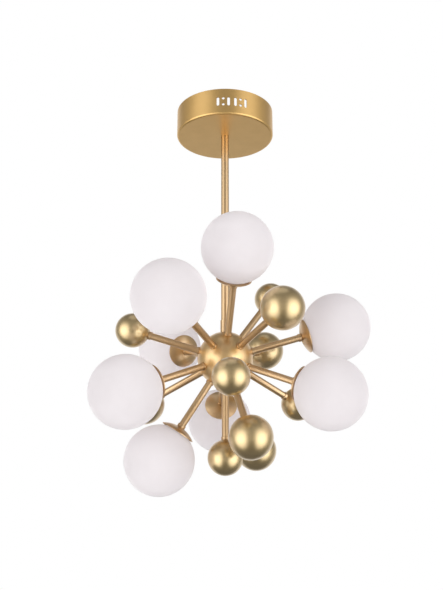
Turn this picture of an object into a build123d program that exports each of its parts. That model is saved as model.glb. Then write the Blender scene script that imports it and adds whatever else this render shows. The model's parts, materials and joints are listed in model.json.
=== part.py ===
"""Multi arm chandelier: a ball hub on a straight stem, with opal globes and metal balls on radial arms.

Millimetres, +Z up. The origin is on the ceiling plane, at the centre of the canopy, so all of it
hangs below z = 0. The camera side of the reference view is -Y.
"""

import os
from math import pi, sqrt

from build123d import *

os.makedirs("parts", exist_ok=True)

# Canopy, a drum that is open at the ceiling
CANOPY_D = 150.0
CANOPY_HEIGHT = 42.0
CANOPY_SHEET = 1.2
CANOPY_EDGE_RADIUS = 3.0

# Vents in the canopy wall: groups of slot, two round holes, slot
VENT_AZIMUTH = 278.0
VENT_WIDTH = 4.0
VENT_HEIGHT = 14.0
VENT_PITCH = 8.0
VENT_GROUP_PITCH = 26.5

# Ceiling bracket, a bar with an ear bent down at each end
BRACKET_SHEET = 2.0
BRACKET_WIDTH = 24.0
BRACKET_EAR = 20.0
BRACKET_BEND_RADIUS = 3.0
BRACKET_GAP = 0.6
CEILING_SLOT_SPACING = 88.0
CEILING_SLOT_LENGTH = 30.0
CEILING_SLOT_WIDTH = 5.0
WIRE_HOLE_D = 14.0

# Screws that hold the canopy to the ears, flush with the canopy wall
CANOPY_SCREW_D = 4.0
CANOPY_SCREW_HEAD_D = 6.4
CANOPY_SCREW_DROP = 11.0
CANOPY_SCREW_END = 3.0

# Mains connection under the bracket
TERMINAL_LENGTH = 30.0
TERMINAL_WIDTH = 17.0
TERMINAL_HEIGHT = 14.0
TERMINAL_WAYS = 3
TERMINAL_WIRE_D = 3.4
TERMINAL_SCREW_D = 4.4
EARTH_SCREW_D = 4.0
EARTH_HEAD_D = 8.0
EARTH_HEAD_HEIGHT = 2.6
EARTH_OFFSET = 22.0

# Stem and what fastens it
STEM_D = 12.0
STEM_BORE_D = 7.0
STEM_LENGTH = 297.6
SPIGOT_D = 10.0
SPIGOT_LENGTH = 13.0
WASHER_D = 22.0
WASHER_THICKNESS = 1.5
NUT_ACROSS_FLATS = 17.0
NUT_HEIGHT = 5.0
COUPLING_D = 14.0
COUPLING_LENGTH = 19.0
COUPLING_SOCKET = 10.0
COUPLING_CHAMFER = 0.6

# Hub, a hollow ball with a flat seat under every arm
HUB_D = 80.0
HUB_WALL = 6.0

# Arms: round rods with a collar at each end, the same reach under balls and globes
ARM_D = 10.0
ARM_BORE_D = 7.0
ARM_IN_HUB = 2.0
ARM_REACH = 116.4
COLLAR_D = 12.0
COLLAR_CHAMFER = 0.4
HUB_COLLAR_LENGTH = 3.0
END_COLLAR_LENGTH = 4.5

# Metal balls, hollow, each with a boss for its arm
SMALL_BALL_D = 50.0
LARGE_BALL_D = 60.0
BALL_WALL = 1.5
BALL_BOSS_D = 15.0
BALL_BOSS_DEPTH = 10.0
BALL_GRIP = 8.0

# Globe holder, a shallow dish with a rounded back and a raised seat for the globe's mouth
HOLDER_D = 50.0
HOLDER_DEPTH = 9.0
HOLDER_LIP = 1.2
HOLDER_SHEET = 1.2
HOLDER_SEAT_D = 40.0
HOLDER_SEAT_DROP = 1.2

# Opal globe
GLOBE_D = 100.0
GLOBE_WALL = 2.5
GLOBE_MOUTH_D = 34.0
GLOBE_SEAT_GAP = 0.2

# Spring clip that grips the globe's mouth
CLIP_SHEET = 0.6
CLIP_BASE_D = 22.0
CLIP_GAP = 0.3
CLIP_LEAD_IN = 3.0
CLIP_FINGERS = 3
CLIP_FINGER_ANGLE = 36.0

# Lamp socket and capsule lamp
SOCKET_D = 20.0
SOCKET_LENGTH = 20.0
SOCKET_GRIP = 6.0
SOCKET_WIRE_ROOM = 3.0
PIN_SPACING = 9.0
PIN_D = 1.6
PIN_LENGTH = 8.0
BULB_BASE_D = 13.0
BULB_BASE_LENGTH = 7.0
BULB_D = 15.0
BULB_LENGTH = 46.0

# Wiring
SUPPLY_LEAD_D = 6.0
LAMP_LEAD_D = 4.0
SPLICE_D = 26.0

# Radial clearance of a rod in its hole
FIT = 0.05

# Rings of arms on the hub: elevation, azimuth of the first arm, and what each arm carries in turn
RINGS = (
    (50.0, 38.5, ("small", "small", "globe")),
    (17.0, 3.0, ("globe", "large", "globe", "small", "globe", "large")),
    (-22.0, 33.0, ("small", "globe", "large", "globe", "small", "globe")),
    (-57.0, 55.0, ("large", "globe", "large")),
    (-90.0, 0.0, ("small",)),
)

# Positions that follow from the sizes above
CANOPY_R = CANOPY_D / 2
CANOPY_INNER_R = CANOPY_R - CANOPY_SHEET
HUB_R = HUB_D / 2
COLLAR_R = COLLAR_D / 2
STEM_FOOT_SEAT = sqrt(HUB_R**2 - (COUPLING_D / 2) ** 2)
HUB_Z = -(CANOPY_HEIGHT + STEM_LENGTH + COUPLING_LENGTH + STEM_FOOT_SEAT)
HUB_SEAT = sqrt(HUB_R**2 - COLLAR_R**2)
ARM_START = HUB_R - HUB_WALL - ARM_IN_HUB
BRACKET_END = sqrt((CANOPY_INNER_R - BRACKET_GAP) ** 2 - (BRACKET_WIDTH / 2) ** 2)

# Globe holder, measured along its arm from the hub's centre
HOLDER_R = HOLDER_D / 2
HOLDER_DOME = HOLDER_DEPTH - HOLDER_LIP
HOLDER_BACK_R = (HOLDER_R**2 + HOLDER_DOME**2) / (2 * HOLDER_DOME)
HOLDER_BACK_CENTRE = ARM_REACH + sqrt(HOLDER_BACK_R**2 - COLLAR_R**2)
HOLDER_RIM = HOLDER_BACK_CENTRE - HOLDER_BACK_R + HOLDER_DEPTH
GLOBE_SEAT = HOLDER_RIM - HOLDER_SEAT_DROP
GLOBE_R = GLOBE_D / 2
GLOBE_CENTRE = GLOBE_SEAT + GLOBE_SEAT_GAP + sqrt(GLOBE_R**2 - (GLOBE_MOUTH_D / 2) ** 2)


def holder_floor(radius):
    """Inner face of the holder's dish at a distance from the arm's axis."""
    return HOLDER_BACK_CENTRE - sqrt((HOLDER_BACK_R - HOLDER_SHEET) ** 2 - radius**2)


CLIP_SEAT = holder_floor(CLIP_BASE_D / 2)
SOCKET_SEAT = CLIP_SEAT + CLIP_SHEET
SOCKET_FACE = SOCKET_SEAT + SOCKET_LENGTH
LIGHT_ARM_END = SOCKET_SEAT + SOCKET_GRIP


def rod(diameter, low, high):
    """Round bar on the Z axis between two heights."""
    return Pos(0, 0, low) * Cylinder(
        diameter / 2, high - low, align=(Align.CENTER, Align.CENTER, Align.MIN)
    )


def ball(diameter, height):
    """Sphere on the Z axis with its centre at a height."""
    return Pos(0, 0, height) * Sphere(diameter / 2)


def along_arm(piece, elevation, azimuth):
    """Moves a piece made on the Z axis, with the hub's centre at 0, onto an arm's direction."""
    turn = Rot(0, 0, azimuth) * Rot(0, 90 - elevation, 0)
    return Pos(0, 0, HUB_Z) * turn * piece


def arm_slots():
    """Yields (what the arm carries, elevation, azimuth) for every arm on the hub."""
    for elevation, first_azimuth, loads in RINGS:
        for index, load in enumerate(loads):
            yield load, elevation, first_azimuth + 360.0 * index / len(loads)


def save(name, *pieces):
    """Writes one node, as one solid or as a group of separate solids."""
    solids = [solid for piece in pieces for solid in piece.solids()]
    shape = solids[0] if len(solids) == 1 else Compound(children=solids)
    export_step(shape, f"parts/{name}.step")


# Ceiling bracket


def ceiling_bracket():
    bar = Box(
        2 * BRACKET_END,
        BRACKET_WIDTH,
        BRACKET_EAR,
        align=(Align.CENTER, Align.CENTER, Align.MAX),
    )
    bends = bar.faces().sort_by(Axis.Z)[-1].edges().filter_by(Axis.Y)
    bar = fillet(bends, BRACKET_BEND_RADIUS)
    room = Pos(0, 0, -BRACKET_SHEET) * Box(
        2 * (BRACKET_END - BRACKET_SHEET),
        BRACKET_WIDTH,
        BRACKET_EAR,
        align=(Align.CENTER, Align.CENTER, Align.MAX),
    )
    bends = room.faces().sort_by(Axis.Z)[-1].edges().filter_by(Axis.Y)
    bar -= fillet(bends, BRACKET_BEND_RADIUS - BRACKET_SHEET)

    slot = extrude(SlotOverall(CEILING_SLOT_LENGTH, CEILING_SLOT_WIDTH), -BRACKET_SHEET)
    for side in (-1, 1):
        bar -= Pos(side * CEILING_SLOT_SPACING / 2, 0, 0) * slot
    bar -= rod(WIRE_HOLE_D, -BRACKET_SHEET, 0)
    bar -= Pos(EARTH_OFFSET, 0, 0) * rod(EARTH_SCREW_D, -BRACKET_SHEET, 0)
    tapped = Pos(0, 0, -CANOPY_SCREW_DROP) * Rot(0, 90, 0) * Cylinder(
        CANOPY_SCREW_D / 2 + FIT, 2 * BRACKET_END
    )
    return bar - tapped


def canopy_screw():
    """Countersunk screw along +X, its head flush with the canopy wall."""
    ear_inside = BRACKET_END - BRACKET_SHEET
    head_face = sqrt(CANOPY_R**2 - (CANOPY_SCREW_HEAD_D / 2) ** 2)
    head_taper = (CANOPY_SCREW_HEAD_D - CANOPY_SCREW_D) / 2
    shank = rod(CANOPY_SCREW_D, ear_inside - CANOPY_SCREW_END, head_face)
    head = Pos(0, 0, head_face - head_taper) * Cone(
        CANOPY_SCREW_D / 2,
        CANOPY_SCREW_HEAD_D / 2,
        head_taper,
        align=(Align.CENTER, Align.CENTER, Align.MIN),
    )
    return Pos(0, 0, -CANOPY_SCREW_DROP) * Rot(0, 90, 0) * (shank + head)


def canopy_screw_pair():
    return [Rot(0, 0, turn) * canopy_screw() for turn in (0, 180)]


# Mains connection


def terminal_block():
    top = -BRACKET_SHEET
    block = Pos(0, 0, top) * Box(
        TERMINAL_LENGTH,
        TERMINAL_WIDTH,
        TERMINAL_HEIGHT,
        align=(Align.CENTER, Align.CENTER, Align.MAX),
    )
    pitch = TERMINAL_LENGTH / TERMINAL_WAYS
    for way in range(TERMINAL_WAYS):
        x = (way - (TERMINAL_WAYS - 1) / 2) * pitch
        mid = top - TERMINAL_HEIGHT / 2
        wire_way = Pos(x, 0, mid) * Rot(90, 0, 0) * Cylinder(TERMINAL_WIRE_D / 2, TERMINAL_WIDTH)
        block -= wire_way
        for side in (-1, 1):
            screw_hole = Pos(x, side * TERMINAL_WIDTH / 4, 0) * rod(
                TERMINAL_SCREW_D, top - TERMINAL_HEIGHT, mid
            )
            block -= screw_hole
    return block


def earth_screw():
    shank = rod(EARTH_SCREW_D - 2 * FIT, -BRACKET_SHEET, 0)
    head = rod(EARTH_HEAD_D, -BRACKET_SHEET - EARTH_HEAD_HEIGHT, -BRACKET_SHEET)
    crown = head.edges().group_by(Axis.Z)[0]
    return Pos(EARTH_OFFSET, 0, 0) * (shank + fillet(crown, EARTH_HEAD_HEIGHT / 2))


# Canopy


def vent_columns():
    """Azimuth and kind of every column of vents, left to right."""
    degrees_per_mm = 180.0 / (pi * CANOPY_R)
    for group in (-0.5, 0.5):
        for step, kind in ((-1, "slot"), (0, "holes"), (1, "slot")):
            shift = group * VENT_GROUP_PITCH + step * VENT_PITCH
            yield VENT_AZIMUTH + shift * degrees_per_mm, kind


def vent(kind):
    """Cutter for one column of vents, pointing along +X from the canopy's axis."""
    wall = Plane(origin=(0, 0, -CANOPY_HEIGHT / 2), x_dir=(0, 0, 1), z_dir=(1, 0, 0))
    if kind == "slot":
        return extrude(wall * SlotOverall(VENT_HEIGHT, VENT_WIDTH), CANOPY_D)
    rise = (VENT_HEIGHT - VENT_WIDTH) / 2
    holes = [extrude(wall * Pos(s * rise, 0) * Circle(VENT_WIDTH / 2), CANOPY_D) for s in (-1, 1)]
    return holes[0] + holes[1]


def canopy():
    drum = rod(CANOPY_D, -CANOPY_HEIGHT, 0)
    drum = fillet(drum.edges().group_by(Axis.Z)[0], CANOPY_EDGE_RADIUS)
    room = rod(2 * CANOPY_INNER_R, CANOPY_SHEET - CANOPY_HEIGHT, 0)
    drum -= fillet(room.edges().group_by(Axis.Z)[0], CANOPY_EDGE_RADIUS - CANOPY_SHEET)
    drum -= rod(SPIGOT_D + 2 * FIT, -CANOPY_HEIGHT, 0)
    for azimuth, kind in vent_columns():
        drum -= Rot(0, 0, azimuth) * vent(kind)
    for screw in canopy_screw_pair():
        drum -= screw
    return drum


# Stem


def stem():
    foot = HUB_Z + STEM_FOOT_SEAT + COUPLING_LENGTH - COUPLING_SOCKET
    tube = rod(STEM_D, foot, -CANOPY_HEIGHT)
    spigot = rod(SPIGOT_D, -CANOPY_HEIGHT, SPIGOT_LENGTH - CANOPY_HEIGHT)
    return tube + spigot - rod(STEM_BORE_D, foot, SPIGOT_LENGTH - CANOPY_HEIGHT)


def stem_washer():
    low = CANOPY_SHEET - CANOPY_HEIGHT
    high = low + WASHER_THICKNESS
    return rod(WASHER_D, low, high) - rod(SPIGOT_D + 2 * FIT, low, high)


def stem_lock_nut():
    low = CANOPY_SHEET - CANOPY_HEIGHT + WASHER_THICKNESS
    hexagon = RegularPolygon(NUT_ACROSS_FLATS / 2, 6, major_radius=False)
    nut = Pos(0, 0, low) * extrude(hexagon, NUT_HEIGHT)
    return nut - rod(SPIGOT_D + 2 * FIT, low, low + NUT_HEIGHT)


def stem_coupling():
    seat = HUB_Z + STEM_FOOT_SEAT
    top = seat + COUPLING_LENGTH
    foot = HUB_Z + HUB_R - HUB_WALL - ARM_IN_HUB
    sleeve = rod(COUPLING_D, seat, top)
    sleeve = chamfer(sleeve.edges().group_by(Axis.Z)[-1], COUPLING_CHAMFER)
    sleeve += rod(SPIGOT_D, foot, seat)
    sleeve -= rod(STEM_D + 2 * FIT, top - COUPLING_SOCKET, top)
    return sleeve - rod(STEM_BORE_D, foot, top)


# Hub and arms


def hub():
    shell = ball(HUB_D, 0) - ball(HUB_D - 2 * HUB_WALL, 0)
    shell = Pos(0, 0, HUB_Z) * shell
    seat_cut = rod(COLLAR_D, HUB_SEAT, HUB_R + HUB_WALL)
    arm_hole = rod(ARM_D + 2 * FIT, HUB_R - 2 * HUB_WALL, HUB_R + HUB_WALL)
    for _, elevation, azimuth in arm_slots():
        shell -= along_arm(seat_cut + arm_hole, elevation, azimuth)
    stem_cut = rod(COUPLING_D, STEM_FOOT_SEAT, HUB_R + HUB_WALL)
    stem_hole = rod(SPIGOT_D + 2 * FIT, HUB_R - 2 * HUB_WALL, HUB_R + HUB_WALL)
    return shell - Pos(0, 0, HUB_Z) * (stem_cut + stem_hole)


def collar(low, high):
    ring = rod(COLLAR_D, low, high)
    ring = chamfer(ring.edges().filter_by(GeomType.CIRCLE), COLLAR_CHAMFER)
    return ring - rod(ARM_D + 2 * FIT, low, high)


def hub_collar():
    return collar(HUB_SEAT, HUB_SEAT + HUB_COLLAR_LENGTH)


def end_collar():
    return collar(ARM_REACH - END_COLLAR_LENGTH, ARM_REACH)


def light_arm():
    return rod(ARM_D, ARM_START, LIGHT_ARM_END) - rod(ARM_BORE_D, ARM_START, LIGHT_ARM_END)


def ball_arm():
    return rod(ARM_D, ARM_START, ARM_REACH + BALL_GRIP)


def metal_ball(diameter):
    """Hollow ball with a flat seat for the collar and a boss that takes the arm's end."""
    centre = ARM_REACH + sqrt((diameter / 2) ** 2 - COLLAR_R**2)
    boss_end = ARM_REACH + BALL_BOSS_DEPTH
    shell = ball(diameter, centre) - ball(diameter - 2 * BALL_WALL, centre)
    boss = rod(BALL_BOSS_D, ARM_REACH, boss_end) & ball(diameter, centre)
    shell += boss
    shell -= rod(ARM_D + 2 * FIT, ARM_REACH, boss_end)
    return shell - rod(diameter, ARM_REACH - diameter, ARM_REACH)


# Lit heads


def globe_holder():
    """Dish with a boss that the clip stands on and a ring that the globe's mouth rests on."""
    dome = ball(2 * HOLDER_BACK_R, HOLDER_BACK_CENTRE)
    room = ball(2 * (HOLDER_BACK_R - HOLDER_SHEET), HOLDER_BACK_CENTRE)
    dish = dome & rod(HOLDER_D, ARM_REACH, HOLDER_RIM)
    dish -= room & rod(HOLDER_D - 2 * HOLDER_SHEET, ARM_REACH - HOLDER_DEPTH, HOLDER_RIM)
    boss = rod(CLIP_BASE_D, ARM_REACH, CLIP_SEAT)
    seat_ring = rod(HOLDER_SEAT_D, ARM_REACH, GLOBE_SEAT)
    seat_ring -= rod(GLOBE_MOUTH_D - CLIP_GAP, ARM_REACH, GLOBE_SEAT)
    dish += (boss + seat_ring) & dome
    return dish - rod(ARM_D + 2 * FIT, ARM_REACH, CLIP_SEAT)


def globe_clip():
    """Spring washer with fingers that press outwards in the globe's mouth."""
    grip = GLOBE_MOUTH_D / 2 - CLIP_GAP
    root = CLIP_BASE_D / 2 - CLIP_SHEET
    knee = holder_floor(grip) + CLIP_SHEET
    tip = GLOBE_CENTRE - sqrt((GLOBE_R - GLOBE_WALL) ** 2 - grip**2) + CLIP_LEAD_IN
    base = rod(CLIP_BASE_D, CLIP_SEAT, SOCKET_SEAT) - rod(ARM_D + 2 * FIT, CLIP_SEAT, SOCKET_SEAT)
    strip = Polyline(
        (root, 0, CLIP_SEAT),
        (root + CLIP_SHEET, 0, CLIP_SEAT),
        (grip, 0, knee),
        (grip, 0, tip),
        (grip - CLIP_LEAD_IN, 0, tip + CLIP_LEAD_IN),
        (grip - CLIP_LEAD_IN - CLIP_SHEET, 0, tip + CLIP_LEAD_IN),
        (grip - CLIP_SHEET, 0, tip),
        (grip - CLIP_SHEET, 0, knee + CLIP_SHEET / 2),
        (root, 0, SOCKET_SEAT),
        close=True,
    )
    finger = revolve(make_face(strip), Axis.Z, CLIP_FINGER_ANGLE)
    for index in range(CLIP_FINGERS):
        base += Rot(0, 0, 360.0 * index / CLIP_FINGERS) * finger
    return base


def lamp_socket():
    body = rod(SOCKET_D, SOCKET_SEAT, SOCKET_FACE)
    body = chamfer(body.edges().group_by(Axis.Z)[-1], SOCKET_D / 20)
    body -= rod(ARM_D + 2 * FIT, SOCKET_SEAT, LIGHT_ARM_END)
    body -= rod(ARM_BORE_D, LIGHT_ARM_END, LIGHT_ARM_END + SOCKET_WIRE_ROOM)
    for side in (-1, 1):
        body -= Pos(side * PIN_SPACING / 2, 0, 0) * rod(
            PIN_D + 4 * FIT, SOCKET_FACE - PIN_LENGTH - PIN_D, SOCKET_FACE
        )
    return body


def bulb():
    shoulder = SOCKET_FACE + BULB_BASE_LENGTH
    dome = SOCKET_FACE + BULB_LENGTH - BULB_D / 2
    lamp = rod(BULB_BASE_D, SOCKET_FACE, shoulder) + rod(BULB_D, shoulder, dome) + ball(BULB_D, dome)
    for side in (-1, 1):
        lamp += Pos(side * PIN_SPACING / 2, 0, 0) * rod(PIN_D, SOCKET_FACE - PIN_LENGTH, SOCKET_FACE)
    return lamp


def globe():
    glass = ball(GLOBE_D, GLOBE_CENTRE) - ball(GLOBE_D - 2 * GLOBE_WALL, GLOBE_CENTRE)
    return glass - rod(GLOBE_MOUTH_D, GLOBE_CENTRE - GLOBE_D, GLOBE_CENTRE)


def wiring_harness():
    """Supply lead in the stem, splice in the hub and a lead in each light arm, joined for good."""
    terminal_foot = -BRACKET_SHEET - TERMINAL_HEIGHT
    loom = Pos(0, 0, HUB_Z) * Sphere(SPLICE_D / 2) + rod(SUPPLY_LEAD_D, HUB_Z, terminal_foot)
    lead = rod(LAMP_LEAD_D, 0, LIGHT_ARM_END + SOCKET_WIRE_ROOM)
    for load, elevation, azimuth in arm_slots():
        if load == "globe":
            loom += along_arm(lead, elevation, azimuth)
    return loom


save("ceiling_bracket", ceiling_bracket())
save("canopy_screws", *canopy_screw_pair())
save("terminal_block", terminal_block())
save("earth_screw", earth_screw())
save("canopy", canopy())
save("stem", stem())
save("stem_washer", stem_washer())
save("stem_lock_nut", stem_lock_nut())
save("stem_coupling", stem_coupling())
save("hub", hub())
save("wiring_harness", wiring_harness())

BALL_SIZES = {"small": SMALL_BALL_D, "large": LARGE_BALL_D}
hub_collars = []
end_collars = []
ball_arms = []
lamp_sockets = []
globe_clips = []
ball_count = 0
light_count = 0
for load, elevation, azimuth in arm_slots():
    hub_collars.append(along_arm(hub_collar(), elevation, azimuth))
    end_collars.append(along_arm(end_collar(), elevation, azimuth))
    if load == "globe":
        light_count += 1
        lamp_sockets.append(along_arm(lamp_socket(), elevation, azimuth))
        globe_clips.append(along_arm(globe_clip(), elevation, azimuth))
        save(f"light_arm_{light_count}", along_arm(light_arm(), elevation, azimuth))
        save(f"globe_holder_{light_count}", along_arm(globe_holder(), elevation, azimuth))
        save(f"bulb_{light_count}", along_arm(bulb(), elevation, azimuth))
        save(f"globe_{light_count}", along_arm(globe(), elevation, azimuth))
    else:
        ball_count += 1
        ball_arms.append(along_arm(ball_arm(), elevation, azimuth))
        save(f"ball_{ball_count}", along_arm(metal_ball(BALL_SIZES[load]), elevation, azimuth))

save("hub_collars", *hub_collars)
save("end_collars", *end_collars)
save("ball_arms", *ball_arms)
save("lamp_sockets", *lamp_sockets)
save("globe_clips", *globe_clips)
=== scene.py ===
"""Looks of a multi arm chandelier in satin gold with opal glass globes, on a plain pale studio set."""

import json
import math

import bmesh
import bpy
from mathutils import Matrix, Vector


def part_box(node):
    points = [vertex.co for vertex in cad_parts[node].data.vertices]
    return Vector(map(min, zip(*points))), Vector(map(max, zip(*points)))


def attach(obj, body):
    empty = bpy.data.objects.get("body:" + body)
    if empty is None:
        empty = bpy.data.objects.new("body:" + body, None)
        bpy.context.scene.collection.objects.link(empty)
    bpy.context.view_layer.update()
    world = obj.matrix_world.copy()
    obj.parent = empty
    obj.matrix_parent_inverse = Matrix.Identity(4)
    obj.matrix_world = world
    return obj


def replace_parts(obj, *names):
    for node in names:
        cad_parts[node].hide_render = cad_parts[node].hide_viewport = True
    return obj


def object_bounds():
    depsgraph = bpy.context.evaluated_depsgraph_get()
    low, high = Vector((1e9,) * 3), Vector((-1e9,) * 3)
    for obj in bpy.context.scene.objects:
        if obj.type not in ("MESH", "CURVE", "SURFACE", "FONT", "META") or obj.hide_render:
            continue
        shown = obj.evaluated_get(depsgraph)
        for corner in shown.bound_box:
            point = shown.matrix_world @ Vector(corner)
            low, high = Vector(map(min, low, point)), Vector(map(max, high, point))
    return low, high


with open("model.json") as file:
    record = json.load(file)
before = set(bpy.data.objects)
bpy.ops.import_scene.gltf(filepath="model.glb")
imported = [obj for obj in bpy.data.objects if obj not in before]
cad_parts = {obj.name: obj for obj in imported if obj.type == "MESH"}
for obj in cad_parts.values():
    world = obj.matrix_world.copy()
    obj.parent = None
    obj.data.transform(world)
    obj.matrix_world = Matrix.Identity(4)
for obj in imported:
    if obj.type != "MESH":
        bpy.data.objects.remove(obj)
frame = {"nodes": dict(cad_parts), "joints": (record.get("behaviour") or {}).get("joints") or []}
cad_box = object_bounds()

NODES = frame["nodes"]
LIGHTS = 8
BALLS = 11

# Picture and camera. The image is taken as 443 x 590, so the sensor's width lies along its height.
IMAGE_HEIGHT = 590
FOCAL_PIXELS = 846.3
SENSOR = 36.0
CAMERA_FROM_HUB = Vector((-0.0054, -1.1941, -0.2768))
CAMERA_PITCH = 17.39
CLIP_START = 0.01

# Capsule lamp, measured from the face of its socket
LAMP_RADIUS = 0.0075
LAMP_NECK_RADIUS = 0.0056
LAMP_NECK_LENGTH = 0.005
LAMP_TIP_RADIUS = 0.0012
LAMP_TIP_LENGTH = 0.0015
LAMP_BASE_RADIUS = 0.0065
LAMP_BASE_LENGTH = 0.007
LAMP_BASE_GROOVE = 0.0006
LAMP_PIN_RADIUS = 0.0008
LAMP_PIN_LENGTH = 0.008
LAMP_PIN_OFFSET = 0.0045
LAMP_NECK_STEPS = 8
LAMP_END_STEPS = 12
LAMP_TIP_STEPS = 4

# Screws and the thread on the stem's spigot
CANOPY_SCREW_LENGTH = 0.0077
CANOPY_SCREW_RADIUS = 0.002
CANOPY_SCREW_PITCH = 0.0007
CROSS_TOP = (0.0017, 0.00045)
CROSS_FOOT = (0.0008, 0.00035)
CROSS_DEPTH = 0.0011
CROSS_OVERCUT = 0.00011
TERMINAL_WAYS = 3
TERMINAL_SCREW_RADIUS = 0.0019
TERMINAL_SCREW_LENGTH = 0.0042
TERMINAL_SCREW_SINK = 0.0009
TERMINAL_SCREW_SHARES = (0.25, 0.75)
EARTH_SHANK_RADIUS = 0.00195
EARTH_HEAD_HEIGHT = 0.0026
EARTH_CROWN_STEPS = 6
SLOT_WIDTH = 0.0009
SLOT_DEPTH = 0.0011
SCREW_TURN = 55.0
SPIGOT_RADIUS = 0.005
THREAD_PITCH = 0.001
THREAD_HEIGHT = 0.0004
THREAD_HALF_WIDTH = 0.45 * THREAD_PITCH
THREAD_SINK = THREAD_HEIGHT / 4
THREAD_STEPS = 48
THREAD_RUN_OUT = 12

# Facets of turned shapes
TURNED_STEPS = 40
SMALL_SCREW_STEPS = 24
PIN_STEPS = 16

# Shading
SHARP_ANGLE = 35.0
FLAT_ANGLE = 1.0
EDGE_SEGMENTS = 2
SEAM = 0.000005
EDGE_BREAKS = {
    "ceiling_bracket": 0.0003,
    "stem_washer": 0.0002,
    "stem_lock_nut": 0.0004,
    "terminal_block": 0.0005,
}

# Clear coat on the gold, and a painted glow on the opal glass: it stands in for light from the lamps inside,
# which give none, and evens the globes' shading towards their edges
COAT_ROUGHNESS = 0.30
COAT_IOR = 2.8
OPAL_PAINTED_GLOW = 0.235
OPAL_PAINTED_GLOW_COLOUR = (1.0, 0.940, 0.960, 1.0)

# Floor and soft boxes. A soft box is two layers, each with its (width, height) in metres and its watts.
FLOOR_DROP = 1.9
FLOOR_RADIUS = 3.0
FLOOR_STEPS = 96
SOFTBOX_ANGLE = 55.0
SOFTBOX_DISTANCE = 1.7
SOFTBOX_LAYERS = {"edge": ((2.1, 4.2), 16.4), "middle": ((1.2, 3.2), 14.0)}
SOFTBOX_RISE = 0.55
SOFTBOX_SPREAD = 104.0
TOP_BOX_SIZE = (1.3, 1.3)
TOP_BOX_PLACE = Vector((0.0, -0.2, 1.3))
TOP_BOX_POWER = 2.0

# Strength of the surroundings by direction, and where one level goes over into the next
WHITE = 1.0
FRONT_LEVEL = 0.34
FRONT_TO_BACK = (0.52, 0.77)
BOTTOM_LEVEL = 0.03
BOTTOM_TO_MIDDLE = (-0.78, -0.33)
TOP_LEVEL = 0.6
MIDDLE_TO_TOP = (0.62, 0.95)
DIFFUSE_LEVEL = 0.13


# Where things are, read from the frame


def box_centre(node):
    low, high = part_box(node)
    return (low + high) / 2


def arm_directions():
    """Unit vector of every light arm, which is also the way its globe slides."""
    by_child = {joint["child"]: joint["axis"] for joint in frame["joints"]}
    return [Vector(by_child[f"globe_{i}_body"]).normalized() for i in range(1, LIGHTS + 1)]


def meeting_point(directions):
    """Point where the arms' axes meet, from the middles of two arms of equal length."""
    first, second = box_centre("light_arm_1"), box_centre("light_arm_2")
    reach = (first - second).length / (directions[0] - directions[1]).length
    return first - reach * directions[0]


def span(node, direction):
    """Nearest and furthest reach of a node along a direction from the hub's centre."""
    along = [(vertex.co - HUB).dot(direction) for vertex in NODES[node].data.vertices]
    return min(along), max(along)


ARMS = arm_directions()
HUB = meeting_point(ARMS)


# Shader helpers


def new_material(name):
    material = bpy.data.materials.new(name)
    material.use_nodes = True
    tree = material.node_tree
    return material, tree, tree.nodes["Principled BSDF"]


def add(tree, kind, values=None, **settings):
    """Adds a node with its settings, and with values for its input sockets."""
    made = tree.nodes.new(kind)
    for key, value in settings.items():
        setattr(made, key, value)
    for key, value in (values or {}).items():
        made.inputs[key].default_value = value
    return made


def noise(tree, scale, detail=3.0, stretch=(1.0, 1.0, 1.0)):
    """Noise in the object's own coordinates, with features of about 1/scale metres."""
    place = add(tree, "ShaderNodeTexCoord")
    mapping = add(tree, "ShaderNodeMapping", {"Scale": stretch})
    texture = add(tree, "ShaderNodeTexNoise", {"Scale": scale, "Detail": detail, "Roughness": 0.55})
    tree.links.new(place.outputs["Object"], mapping.inputs["Vector"])
    tree.links.new(mapping.outputs["Vector"], texture.inputs["Vector"])
    return texture.outputs["Fac"]


def ramp(tree, source, low, high, start=0.3, end=0.7):
    """Colour that goes from low to high as the source goes from start to end."""
    made = add(tree, "ShaderNodeValToRGB")
    made.color_ramp.elements[0].position = start
    made.color_ramp.elements[0].color = (*low, 1.0)
    made.color_ramp.elements[1].position = end
    made.color_ramp.elements[1].color = (*high, 1.0)
    tree.links.new(source, made.inputs["Fac"])
    return made.outputs["Color"]


def remap(tree, source, low, high, start=0.3, end=0.7):
    """Number that goes from low to high as the source goes from start to end."""
    made = add(
        tree,
        "ShaderNodeMapRange",
        {"From Min": start, "From Max": end, "To Min": low, "To Max": high},
    )
    tree.links.new(source, made.inputs["Value"])
    return made.outputs["Result"]


def bump(tree, shader, source, strength, depth):
    made = add(tree, "ShaderNodeBump", {"Strength": strength, "Distance": depth})
    tree.links.new(source, made.inputs["Height"])
    tree.links.new(made.outputs["Normal"], shader.inputs["Normal"])


# Materials


def gold(name, low, high, roughness, coat, depth=0.00006):
    """Lacquered gold: a cloudy tone, a fine satin grain in its bump, and a hazy clear coat."""
    material, tree, shader = new_material(name)
    shader.inputs["Metallic"].default_value = 1.0
    shader.inputs["Coat Weight"].default_value = coat
    shader.inputs["Coat Roughness"].default_value = COAT_ROUGHNESS
    shader.inputs["Coat IOR"].default_value = COAT_IOR
    clouds = noise(tree, scale=38.0, detail=4.0)
    fine = noise(tree, scale=2200.0, detail=2.0)
    tree.links.new(ramp(tree, clouds, low, high), shader.inputs["Base Color"])
    tree.links.new(remap(tree, fine, roughness - 0.03, roughness + 0.04), shader.inputs["Roughness"])
    bump(tree, shader, fine, strength=0.25, depth=depth)
    return material


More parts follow.
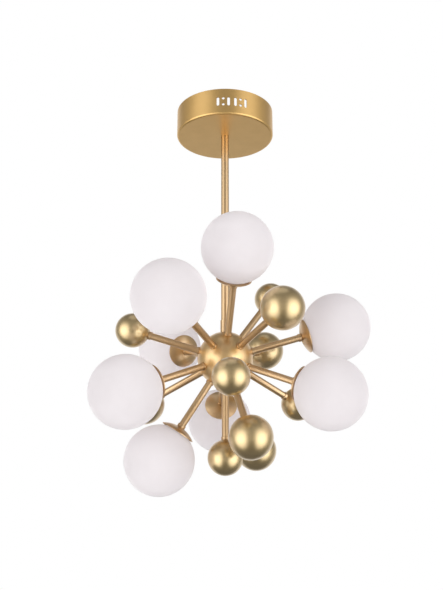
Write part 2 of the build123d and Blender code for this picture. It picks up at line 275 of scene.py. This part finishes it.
def opal_glass(name):
    """Frosted opal glass: milky white, with faint clouds, a soft surface and a weak painted glow, which
    stands in for light from the lamp inside and evens the globe's shading towards its edges.
    """
    material, tree, shader = new_material(name)
    clouds = noise(tree, scale=22.0)
    frost = noise(tree, scale=1800.0, detail=2.0)
    tone = ramp(tree, clouds, (0.53, 0.502, 0.512), (0.56, 0.532, 0.542))
    tree.links.new(tone, shader.inputs["Base Color"])
    tree.links.new(remap(tree, frost, low=0.52, high=0.62), shader.inputs["Roughness"])
    shader.inputs["Specular IOR Level"].default_value = 0.06
    shader.inputs["Subsurface Weight"].default_value = 1.0
    shader.inputs["Subsurface Radius"].default_value = (1.0, 0.95, 0.95)
    shader.inputs["Subsurface Scale"].default_value = 0.03
    # Painted glow: the glass glows as if its lamp were lit, and its shading stays even out to the edges
    shader.inputs["Emission Color"].default_value = OPAL_PAINTED_GLOW_COLOUR
    shader.inputs["Emission Strength"].default_value = OPAL_PAINTED_GLOW
    bump(tree, shader, frost, strength=0.10, depth=0.00003)
    return material


def plated_steel(name):
    """Zinc plate: grey with a soft spangle."""
    material, tree, shader = new_material(name)
    shader.inputs["Metallic"].default_value = 1.0
    place = add(tree, "ShaderNodeTexCoord")
    spangle = add(tree, "ShaderNodeTexVoronoi", {"Scale": 380.0})
    tree.links.new(place.outputs["Object"], spangle.inputs["Vector"])
    cells = spangle.outputs["Color"]
    tree.links.new(ramp(tree, cells, (0.46, 0.47, 0.48), (0.60, 0.61, 0.62)), shader.inputs["Base Color"])
    tree.links.new(remap(tree, cells, low=0.30, high=0.46), shader.inputs["Roughness"])
    bump(tree, shader, noise(tree, scale=900.0), strength=0.15, depth=0.00005)
    return material


def spring_steel(name):
    """Rolled strip: bright grey with fine streaks."""
    material, tree, shader = new_material(name)
    shader.inputs["Metallic"].default_value = 1.0
    streaks = noise(tree, scale=600.0, stretch=(1.0, 1.0, 0.08))
    tree.links.new(ramp(tree, streaks, (0.50, 0.505, 0.51), (0.60, 0.605, 0.61)), shader.inputs["Base Color"])
    tree.links.new(remap(tree, streaks, low=0.24, high=0.36), shader.inputs["Roughness"])
    bump(tree, shader, streaks, strength=0.12, depth=0.00004)
    return material


def screw_brass(name):
    """Bare brass: a faint mottle in tone and gloss."""
    material, tree, shader = new_material(name)
    shader.inputs["Metallic"].default_value = 1.0
    tone = ramp(tree, noise(tree, scale=300.0), (0.62, 0.43, 0.16), (0.74, 0.55, 0.24))
    tree.links.new(tone, shader.inputs["Base Color"])
    gloss = remap(tree, noise(tree, scale=1500.0), low=0.24, high=0.38)
    tree.links.new(gloss, shader.inputs["Roughness"])
    return material


def dull(name, low, high, roughness, scale, depth):
    """Non-metal with a mottled tone: ceramic, moulded plastic, insulation or lamp glass."""
    material, tree, shader = new_material(name)
    mottle = noise(tree, scale, detail=4.0)
    tree.links.new(ramp(tree, mottle, low, high), shader.inputs["Base Color"])
    tree.links.new(remap(tree, mottle, roughness - 0.06, roughness + 0.06), shader.inputs["Roughness"])
    bump(tree, shader, mottle, strength=0.2, depth=depth)
    return material


SATIN = gold(
    "satin_gold_finish",
    low=(0.555, 0.322, 0.088),
    high=(0.600, 0.358, 0.108),
    roughness=0.35,
    coat=0.8,
)
# Lighter copy of the satin gold for the canopy: painted light that brightens its walls
CANOPY_LIT_GOLD = gold(
    "canopy_lit_gold_finish",
    low=(0.645, 0.397, 0.122),
    high=(0.695, 0.433, 0.142),
    roughness=0.38,
    coat=0.2,
)
# Lighter copy of the satin gold for the hub: painted light that offsets the shade the arms and balls around
# it cast
HUB_LIT_GOLD = gold(
    "hub_lit_gold_finish",
    low=(0.705, 0.432, 0.130),
    high=(0.755, 0.468, 0.150),
    roughness=0.36,
    coat=0.65,
)
BALL_GOLD = gold(
    "ball_gold_finish",
    low=(0.520, 0.330, 0.054),
    high=(0.570, 0.370, 0.074),
    roughness=0.33,
    coat=1.0,
    depth=0.00003,
)
OPAL = opal_glass("opal_glass_finish")
STEEL = plated_steel("plated_steel_finish")
SPRING = spring_steel("spring_steel_finish")
BRASS = screw_brass("screw_brass_finish")
CERAMIC = dull(
    "socket_ceramic_finish",
    low=(0.78, 0.765, 0.725),
    high=(0.85, 0.838, 0.80),
    roughness=0.55,
    scale=700.0,
    depth=0.00005,
)
PLASTIC = dull(
    "block_plastic_finish",
    low=(0.74, 0.74, 0.72),
    high=(0.80, 0.80, 0.78),
    roughness=0.42,
    scale=500.0,
    depth=0.00004,
)
SLEEVE = dull(
    "wire_sleeve_finish",
    low=(0.72, 0.71, 0.68),
    high=(0.80, 0.79, 0.76),
    roughness=0.48,
    scale=420.0,
    depth=0.00005,
)
LAMP_GLASS = dull(
    "lamp_glass_finish",
    low=(0.87, 0.865, 0.84),
    high=(0.90, 0.895, 0.875),
    roughness=0.30,
    scale=1400.0,
    depth=0.00002,
)


def dress(node, material):
    """Makes a material the only one on a node."""
    slots = NODES[node].data.materials
    slots.clear()
    slots.append(material)


def even_shading(node):
    """Joins the seams of a round node's mesh and evens its normals, so that it reflects without marks."""
    weld = NODES[node].modifiers.new("weld", "WELD")
    weld.merge_threshold = SEAM
    split = NODES[node].modifiers.new("sharp_edges", "EDGE_SPLIT")
    split.split_angle = math.radians(SHARP_ANGLE)
    NODES[node].modifiers.new("normals", "WEIGHTED_NORMAL")


def soften_edges(node, width):
    """Breaks a node's sharp edges, as stamping, moulding or tumbling leaves them."""
    weld = NODES[node].modifiers.new("weld", "WELD")
    weld.merge_threshold = SEAM
    flats = NODES[node].modifiers.new("flats", "DECIMATE")
    flats.decimate_type = "DISSOLVE"
    flats.angle_limit = math.radians(FLAT_ANGLE)
    edges = NODES[node].modifiers.new("edges", "BEVEL")
    edges.width = width
    edges.segments = EDGE_SEGMENTS
    edges.angle_limit = math.radians(SHARP_ANGLE)
    edges.use_clamp_overlap = False
    NODES[node].modifiers.new("normals", "WEIGHTED_NORMAL")


def dress_all():
    for node in NODES:
        dress(node, SATIN)
    # The canopy wears a lighter copy of the gold, which paints light onto it
    dress("canopy", CANOPY_LIT_GOLD)
    # The hub wears a lighter copy of the gold: painted light against the shade of the parts around it
    dress("hub", HUB_LIT_GOLD)
    for index in range(1, BALLS + 1):
        dress(f"ball_{index}", BALL_GOLD)
        even_shading(f"ball_{index}")
    for index in range(1, LIGHTS + 1):
        dress(f"globe_{index}", OPAL)
        even_shading(f"globe_{index}")
        dress(f"bulb_{index}", LAMP_GLASS)
    dress("ceiling_bracket", STEEL)
    for node in ("stem_washer", "stem_lock_nut", "globe_clips"):
        dress(node, SPRING)
    for node, width in EDGE_BREAKS.items():
        soften_edges(node, width)
    dress("earth_screw", BRASS)
    dress("terminal_block", PLASTIC)
    dress("wiring_harness", SLEEVE)
    even_shading("wiring_harness")
    dress("lamp_sockets", CERAMIC)


# Small pieces that stand for plain solids, or are added to them


def lathe(made, outline, place, steps=TURNED_STEPS):
    """Turns an outline of (radius, height) points about the Z axis of a place."""
    rings = []
    for radius, height in outline:
        count = steps if radius > 0.0 else 1
        angles = [2.0 * math.pi * step / count for step in range(count)]
        points = [Vector((radius * math.cos(a), radius * math.sin(a), height)) for a in angles]
        rings.append([made.verts.new(place @ point) for point in points])
    for lower, upper in zip(rings, rings[1:]):
        for step in range(steps):
            corners = (
                lower[step % len(lower)],
                lower[(step + 1) % len(lower)],
                upper[(step + 1) % len(upper)],
                upper[step % len(upper)],
            )
            made.faces.new(list(dict.fromkeys(corners)))


def prism(made, sections, place):
    """Closed bar through outlines of (x, y) points at given heights."""
    rings = []
    for outline, height in sections:
        rings.append([made.verts.new(place @ Vector((x, y, height))) for x, y in outline])
    made.faces.new(rings[0])
    made.faces.new(rings[-1])
    for lower, upper in zip(rings, rings[1:]):
        for step in range(len(lower)):
            following = (step + 1) % len(lower)
            made.faces.new((lower[step], lower[following], upper[following], upper[step]))


def cross_outline(reach, half):
    quarter = [(half, reach), (half, half), (reach, half)]
    outline = []
    for _ in range(4):
        outline += quarter
        quarter = [(y, -x) for x, y in quarter]
    return outline


def slot_outline(reach):
    half = SLOT_WIDTH / 2
    return [(reach, half), (reach, -half), (-reach, -half), (-reach, half)]


def carve(solid, cutters):
    """Cuts closed meshes out of an object for good."""
    bmesh.ops.recalc_face_normals(cutters, faces=cutters.faces)
    mesh = bpy.data.meshes.new("cutters")
    cutters.to_mesh(mesh)
    cutters.free()
    tool = bpy.data.objects.new("cutters", mesh)
    bpy.context.scene.collection.objects.link(tool)
    cut = solid.modifiers.new("cut", "BOOLEAN")
    cut.operation = "DIFFERENCE"
    cut.solver = "EXACT"
    cut.object = tool
    graph = bpy.context.evaluated_depsgraph_get()
    solid.data = bpy.data.meshes.new_from_object(solid.evaluated_get(graph))
    solid.modifiers.remove(cut)
    bpy.data.objects.remove(tool)


def add_piece(name, made, material, cutters=None):
    """Makes a mesh into a piece that stays with the chandelier's frame."""
    bmesh.ops.recalc_face_normals(made, faces=made.faces)
    mesh = bpy.data.meshes.new(name)
    made.to_mesh(mesh)
    made.free()
    mesh.materials.append(material)
    piece = bpy.data.objects.new(name, mesh)
    bpy.context.scene.collection.objects.link(piece)
    if cutters:
        carve(piece, cutters)
    piece.data.shade_smooth()
    piece.data.set_sharp_from_angle(angle=math.radians(SHARP_ANGLE))
    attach(piece, "frame")
    return piece


def arm_place(direction, distance):
    """Place on an arm's axis, with Z along the arm and X in the upright plane through it."""
    level = Vector((direction.x, direction.y, 0.0))
    side = direction.z * level.normalized() - Vector((0.0, 0.0, level.length))
    turn = Matrix((side, direction.cross(side), direction)).transposed().to_4x4()
    return Matrix.Translation(HUB + distance * direction) @ turn


def facing(point, direction):
    """Place at a point, with Z along a direction."""
    return Matrix.Translation(point) @ direction.to_track_quat("Z", "Y").to_matrix().to_4x4()


def lamp_glass_outline(length):
    """Neck, straight wall, round end and sealed tip of the lamp's envelope."""
    outline = [(0.0, LAMP_BASE_LENGTH)]
    for step in range(LAMP_NECK_STEPS + 1):
        swell = 0.5 - 0.5 * math.cos(math.pi * step / LAMP_NECK_STEPS)
        radius = LAMP_NECK_RADIUS + (LAMP_RADIUS - LAMP_NECK_RADIUS) * swell
        outline.append((radius, LAMP_BASE_LENGTH + LAMP_NECK_LENGTH * step / LAMP_NECK_STEPS))
    centre = length - LAMP_TIP_LENGTH - LAMP_RADIUS
    end = math.acos(LAMP_TIP_RADIUS / LAMP_RADIUS)
    for step in range(LAMP_END_STEPS + 1):
        angle = end * step / LAMP_END_STEPS
        outline.append((LAMP_RADIUS * math.cos(angle), centre + LAMP_RADIUS * math.sin(angle)))
    for step in range(1, LAMP_TIP_STEPS + 1):
        angle = math.pi / 2 * step / LAMP_TIP_STEPS
        rise = (LAMP_TIP_LENGTH - LAMP_TIP_RADIUS) + LAMP_TIP_RADIUS * math.sin(angle)
        radius = LAMP_TIP_RADIUS * math.cos(angle) if step < LAMP_TIP_STEPS else 0.0
        outline.append((radius, centre + LAMP_RADIUS + rise))
    return outline


def lamp_base_outline():
    """Ceramic foot with softened edges and a groove round its middle."""
    groove = LAMP_BASE_GROOVE
    middle = LAMP_BASE_LENGTH / 2
    inner = LAMP_BASE_RADIUS - groove
    return [
        (0.0, 0.0),
        (inner, 0.0),
        (LAMP_BASE_RADIUS, groove),
        (LAMP_BASE_RADIUS, middle - 2 * groove),
        (inner, middle - groove),
        (inner, middle + groove),
        (LAMP_BASE_RADIUS, middle + 2 * groove),
        (LAMP_BASE_RADIUS, LAMP_BASE_LENGTH - groove),
        (inner, LAMP_BASE_LENGTH),
        (0.0, LAMP_BASE_LENGTH),
    ]


def capsule_lamp(index, direction):
    """Lamp of one head: glass, ceramic foot and the two pins in its socket."""
    low, high = span(f"bulb_{index}", direction)
    place = arm_place(direction, low + LAMP_PIN_LENGTH)
    glass = bmesh.new()
    lathe(glass, lamp_glass_outline(high - low - LAMP_PIN_LENGTH), place)
    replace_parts(add_piece(f"lamp_glass_{index}", glass, LAMP_GLASS), f"bulb_{index}")
    base = bmesh.new()
    lathe(base, lamp_base_outline(), place)
    add_piece(f"lamp_base_{index}", base, CERAMIC)
    pins = bmesh.new()
    pin = [
        (0.0, -LAMP_PIN_LENGTH),
        (LAMP_PIN_RADIUS / 2, -LAMP_PIN_LENGTH),
        (LAMP_PIN_RADIUS, LAMP_PIN_RADIUS - LAMP_PIN_LENGTH),
        (LAMP_PIN_RADIUS, 0.0),
        (0.0, 0.0),
    ]
    for offset in (-LAMP_PIN_OFFSET, LAMP_PIN_OFFSET):
        lathe(pins, pin, place @ Matrix.Translation((offset, 0.0, 0.0)), PIN_STEPS)
    add_piece(f"lamp_pins_{index}", pins, SPRING)


def canopy_screws():
    """Countersunk screws with a cross recess, their tips showing a thread inside the canopy."""
    low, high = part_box("canopy_screws")
    head = (high.z - low.z) / 2
    taper = head - CANOPY_SCREW_RADIUS
    root = CANOPY_SCREW_RADIUS - CANOPY_SCREW_PITCH / 3
    outline = [(0.0, -CANOPY_SCREW_LENGTH), (root, -CANOPY_SCREW_LENGTH)]
    height = -CANOPY_SCREW_LENGTH
    while height + CANOPY_SCREW_PITCH < -taper:
        outline.append((CANOPY_SCREW_RADIUS, height + CANOPY_SCREW_PITCH / 2))
        outline.append((root, height + CANOPY_SCREW_PITCH))
        height += CANOPY_SCREW_PITCH
    outline += [(CANOPY_SCREW_RADIUS, -taper), (head, 0.0), (0.0, 0.0)]
    recess = [
        (cross_outline(*CROSS_FOOT), -CROSS_DEPTH),
        (cross_outline(*CROSS_TOP), CROSS_OVERCUT),
    ]
    screws, recesses = bmesh.new(), bmesh.new()
    for side in (-1.0, 1.0):
        face = Vector((side * high.x, 0.0, (low.z + high.z) / 2))
        turn = Matrix.Rotation(math.radians(side * SCREW_TURN), 4, "Z")
        place = facing(face, Vector((side, 0.0, 0.0)))
        lathe(screws, outline, place)
        prism(recesses, recess, place @ turn)
    made = add_piece("cross_head_screws", screws, SATIN, recesses)
    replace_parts(made, "canopy_screws")


def terminal_screws():
    """Slotted clamping screws, two to every way of the block."""
    low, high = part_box("terminal_block")
    chamfer = TERMINAL_SCREW_RADIUS / 8
    outline = [
        (0.0, -TERMINAL_SCREW_LENGTH),
        (TERMINAL_SCREW_RADIUS, -TERMINAL_SCREW_LENGTH),
        (TERMINAL_SCREW_RADIUS, -chamfer),
        (TERMINAL_SCREW_RADIUS - chamfer, 0.0),
        (0.0, 0.0),
    ]
    groove = [(slot_outline(2 * TERMINAL_SCREW_RADIUS), height) for height in (-SLOT_DEPTH, SLOT_DEPTH)]
    screws, grooves = bmesh.new(), bmesh.new()
    for way in range(TERMINAL_WAYS):
        for share in TERMINAL_SCREW_SHARES:
            point = Vector(
                (
                    low.x + (high.x - low.x) * (way + 0.5) / TERMINAL_WAYS,
                    low.y + (high.y - low.y) * share,
                    low.z + TERMINAL_SCREW_SINK,
                )
            )
            turn = Matrix.Rotation(math.radians(SCREW_TURN * (way + share)), 4, "Z")
            place = facing(point, Vector((0.0, 0.0, -1.0))) @ turn
            lathe(screws, outline, place, SMALL_SCREW_STEPS)
            prism(grooves, groove, place)
    add_piece("terminal_screws", screws, BRASS, grooves)


def earth_screw():
    """Slotted pan head screw under the bracket."""
    low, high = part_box("earth_screw")
    head = (high.x - low.x) / 2
    crown = EARTH_HEAD_HEIGHT / 2
    outline = [(0.0, low.z - high.z), (EARTH_SHANK_RADIUS, low.z - high.z)]
    outline += [(EARTH_SHANK_RADIUS, -EARTH_HEAD_HEIGHT), (head, -EARTH_HEAD_HEIGHT), (head, -crown)]
    for step in range(1, EARTH_CROWN_STEPS + 1):
        angle = math.pi / 2 * step / EARTH_CROWN_STEPS
        outline.append((head - crown + crown * math.cos(angle), crown * math.sin(angle) - crown))
    outline.append((0.0, 0.0))
    point = (low + high) / 2
    point.z = low.z
    turn = Matrix.Rotation(math.radians(SCREW_TURN), 4, "Z")
    place = facing(point, Vector((0.0, 0.0, -1.0))) @ turn
    screw, groove = bmesh.new(), bmesh.new()
    lathe(screw, outline, place)
    prism(groove, [(slot_outline(2 * head), height) for height in (-SLOT_DEPTH, SLOT_DEPTH)], place)
    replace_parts(add_piece("slotted_earth_screw", screw, BRASS, groove), "earth_screw")


def stem_thread():
    """Screw thread on the stem's spigot, from the lock nut to its end."""
    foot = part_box("stem_lock_nut")[1].z + THREAD_PITCH / 2
    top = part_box("stem")[1].z - THREAD_PITCH / 2
    steps = round((top - foot) / THREAD_PITCH * THREAD_STEPS)
    made = bmesh.new()
    rings = []
    for step in range(steps + 1):
        angle = 2.0 * math.pi * step / THREAD_STEPS
        height = foot + THREAD_PITCH * step / THREAD_STEPS
        ease = min(1.0, step / THREAD_RUN_OUT, (steps - step) / THREAD_RUN_OUT)
        section = (
            (SPIGOT_RADIUS - THREAD_SINK, height - THREAD_HALF_WIDTH),
            (SPIGOT_RADIUS + THREAD_HEIGHT * ease, height),
            (SPIGOT_RADIUS - THREAD_SINK, height + THREAD_HALF_WIDTH),
        )
        rings.append([made.verts.new((r * math.cos(angle), r * math.sin(angle), z)) for r, z in section])
    made.faces.new(rings[0])
    made.faces.new(rings[-1])
    for lower, upper in zip(rings, rings[1:]):
        for corner in range(len(lower)):
            following = (corner + 1) % len(lower)
            made.faces.new((lower[corner], lower[following], upper[following], upper[corner]))
    add_piece("stem_thread", made, SATIN)


# Set: floor, world, lights and camera


def pale_floor():
    """Round matt floor, far below the chandelier."""
    mesh = bpy.data.meshes.new("studio_floor")
    made = bmesh.new()
    bmesh.ops.create_circle(made, cap_ends=True, radius=FLOOR_RADIUS, segments=FLOOR_STEPS)
    made.to_mesh(mesh)
    made.free()
    floor = bpy.data.objects.new("studio_floor", mesh)
    floor.location = (0.0, 0.0, cad_box[0].z - FLOOR_DROP)
    bpy.context.scene.collection.objects.link(floor)
    material, tree, shader = new_material("studio_floor_finish")
    tone = ramp(tree, noise(tree, scale=3.0), (0.82, 0.815, 0.805), (0.86, 0.855, 0.845))
    tree.links.new(tone, shader.inputs["Base Color"])
    shader.inputs["Roughness"].default_value = 0.8
    mesh.materials.append(material)


def studio_world():
    """White behind the object, grey in front of it, dim above and below; an even level for diffuse light."""
    world = bpy.data.worlds.new("studio_world")
    bpy.context.scene.world = world
    world.use_nodes = True
    tree = world.node_tree
    background = tree.nodes["Background"]
    direction = add(tree, "ShaderNodeTexCoord")
    parts = add(tree, "ShaderNodeSeparateXYZ")
    tree.links.new(direction.outputs["Generated"], parts.inputs["Vector"])
    behind = remap(tree, parts.outputs["Y"], FRONT_LEVEL, WHITE, *FRONT_TO_BACK)
    below = remap(tree, parts.outputs["Z"], BOTTOM_LEVEL, WHITE, *BOTTOM_TO_MIDDLE)
    above = remap(tree, parts.outputs["Z"], WHITE, TOP_LEVEL, *MIDDLE_TO_TOP)
    band = add(tree, "ShaderNodeMath", operation="MULTIPLY")
    tree.links.new(below, band.inputs[0])
    tree.links.new(above, band.inputs[1])
    shade = add(tree, "ShaderNodeMath", operation="MULTIPLY")
    tree.links.new(behind, shade.inputs[0])
    tree.links.new(band.outputs["Value"], shade.inputs[1])
    path = add(tree, "ShaderNodeLightPath")
    seen = add(tree, "ShaderNodeMath", operation="MAXIMUM")
    tree.links.new(path.outputs["Is Camera Ray"], seen.inputs[0])
    tree.links.new(path.outputs["Is Glossy Ray"], seen.inputs[1])
    shown = add(tree, "ShaderNodeMath", operation="MAXIMUM")
    tree.links.new(seen.outputs["Value"], shown.inputs[0])
    tree.links.new(path.outputs["Is Transmission Ray"], shown.inputs[1])
    level = add(tree, "ShaderNodeMix", {"A": DIFFUSE_LEVEL})
    tree.links.new(shown.outputs["Value"], level.inputs["Factor"])
    tree.links.new(shade.outputs["Value"], level.inputs["B"])
    tree.links.new(level.outputs["Result"], background.inputs["Strength"])
    background.inputs["Color"].default_value = (1.0, 1.0, 1.0, 1.0)


def area_light(name, location, target, size, power):
    """Oval soft box that shines at a target and stays out of the picture."""
    data = bpy.data.lights.new(name, "AREA")
    data.shape = "ELLIPSE"
    data.size, data.size_y = size
    data.energy = power
    light = bpy.data.objects.new(name, data)
    light.location = location
    light.rotation_euler = (target - location).to_track_quat("-Z", "Y").to_euler()
    light.visible_camera = False
    bpy.context.scene.collection.objects.link(light)
    return light


def studio_lights(camera):
    """Two tall soft boxes beside the camera, brighter in the middle, and a weak one overhead."""
    view = (camera.location - HUB).normalized()
    for side, name in ((-1.0, "softbox_left"), (1.0, "softbox_right")):
        turn = math.radians(side * SOFTBOX_ANGLE)
        away = Vector(
            (
                view.x * math.cos(turn) - view.y * math.sin(turn),
                view.x * math.sin(turn) + view.y * math.cos(turn),
                view.z,
            )
        )
        target = HUB + Vector((0.0, 0.0, SOFTBOX_RISE))
        place = target + away * SOFTBOX_DISTANCE
        for layer, (size, power) in SOFTBOX_LAYERS.items():
            light = area_light(f"{name}_{layer}", place, target, size, power)
            light.data.spread = math.radians(SOFTBOX_SPREAD)
    area_light("softbox_top", TOP_BOX_PLACE, HUB, TOP_BOX_SIZE, TOP_BOX_POWER)


def photo_camera():
    """Camera in front of the hub and below it, tilted up."""
    data = bpy.data.cameras.new("photo_camera")
    data.sensor_width = SENSOR
    data.lens = FOCAL_PIXELS / IMAGE_HEIGHT * SENSOR
    data.clip_start = CLIP_START
    camera = bpy.data.objects.new("photo_camera", data)
    camera.location = HUB + CAMERA_FROM_HUB
    camera.rotation_euler = (math.radians(90.0 + CAMERA_PITCH), 0.0, 0.0)
    bpy.context.scene.collection.objects.link(camera)
    bpy.context.scene.camera = camera
    return camera


dress_all()
for number, arm in enumerate(ARMS, 1):
    capsule_lamp(number, arm)
canopy_screws()
terminal_screws()
earth_screw()
stem_thread()
pale_floor()
studio_world()
studio_lights(photo_camera())
bpy.context.scene.view_settings.view_transform = "Standard"
